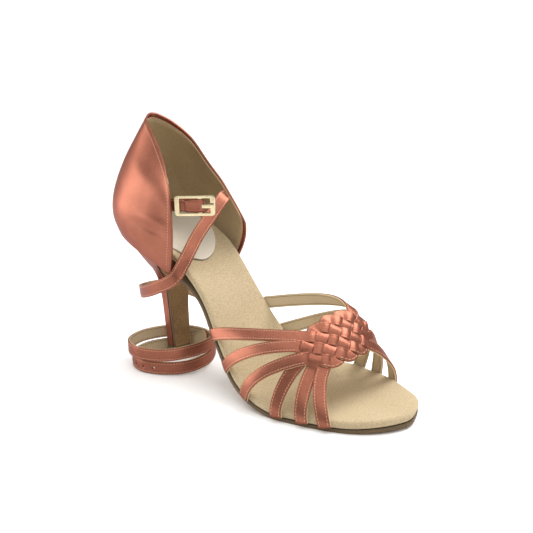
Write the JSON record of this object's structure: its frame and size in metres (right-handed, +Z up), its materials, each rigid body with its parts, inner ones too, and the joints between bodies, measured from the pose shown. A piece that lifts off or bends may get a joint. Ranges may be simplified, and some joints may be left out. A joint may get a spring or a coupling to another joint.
{
  "type": "dance shoe",
  "caption": "Open-toe Latin dance sandal in satin with a plaited vamp, closed heel quarters, slim high heel, long ankle strap and small buckle.",
  "frame": {"origin": "middle of the shoe's box on the floor", "axes": "+X to the toe, +Y to the wearer's left (the inner side of this right shoe), +Z up"},
  "size_m": [0.2268, 0.085, 0.1486],
  "materials": {
    "satin": "coral satin",
    "sole_suede": "brushed brown suede",
    "insole_suede": "beige suede",
    "pad_leather": "grey-beige smooth lining",
    "tip_rubber": "matt brown",
    "buckle_metal": "polished pale gold"
  },
  "bodies": {
    "shoe": {"outsole": "sole_suede", "insole": "insole_suede", "heel_pad": "pad_leather", "heel": "satin", "top_piece": "tip_rubber", "quarters": "satin", "vamp": "satin", "ankle_strap": "satin", "buckle_tab": "satin"},
    "frame": {"buckle_frame": "buckle_metal"},
    "prong": {"buckle_prong": "buckle_metal"}
  },
  "joints": [
    {"name": "frame_swing", "type": "hinge", "parent": "shoe", "child": "frame", "pos_m": [-0.0247, -0.0182, 0.102], "axis": [0, 0, 1], "range_deg": [0, 40]},
    {"name": "prong_swing", "type": "hinge", "parent": "frame", "child": "prong", "pos_m": [-0.0247, -0.0182, 0.102], "axis": [0, 0, -1], "range_deg": [0, 110]}
  ]
}
